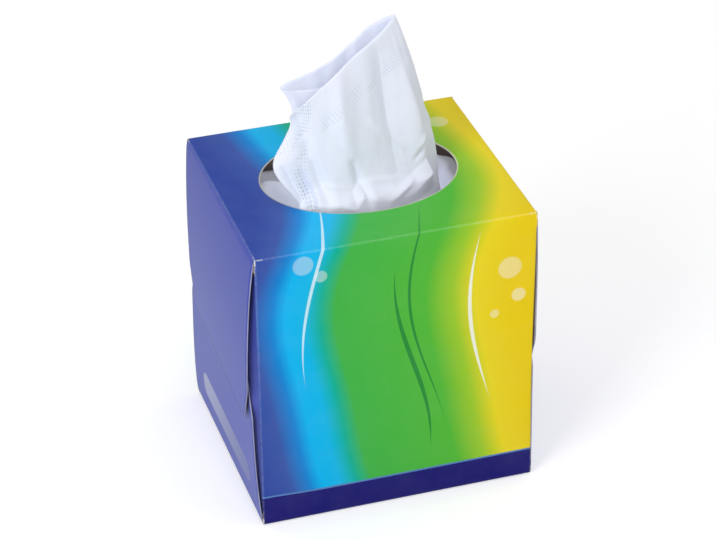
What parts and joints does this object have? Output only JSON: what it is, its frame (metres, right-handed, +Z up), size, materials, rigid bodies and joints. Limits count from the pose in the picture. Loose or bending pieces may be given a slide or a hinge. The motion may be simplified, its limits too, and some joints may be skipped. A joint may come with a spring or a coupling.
{
  "type": "tissue box",
  "caption": "Cube cardboard tissue carton with an oval opening in its top and a folded tissue standing half pulled out of it.",
  "frame": {"origin": "middle of the carton's underside, between its creases", "axes": "+Z up, +X right along the front panel, +Y from the front panel to the back panel"},
  "size_m": [0.1201, 0.101, 0.1907],
  "materials": {
    "printed_board": "satin varnish over a printed pattern of soft colour waves, bare cream board at cut edges",
    "tissue_paper": "soft matte three-ply tissue with embossed dots along its edges"
  },
  "bodies": {
    "root": {"carton": "printed_board", "tissue_stack": "tissue_paper", "next_tissue": "tissue_paper", "popup_tissue": "tissue_paper"}
  },
  "joints": []
}
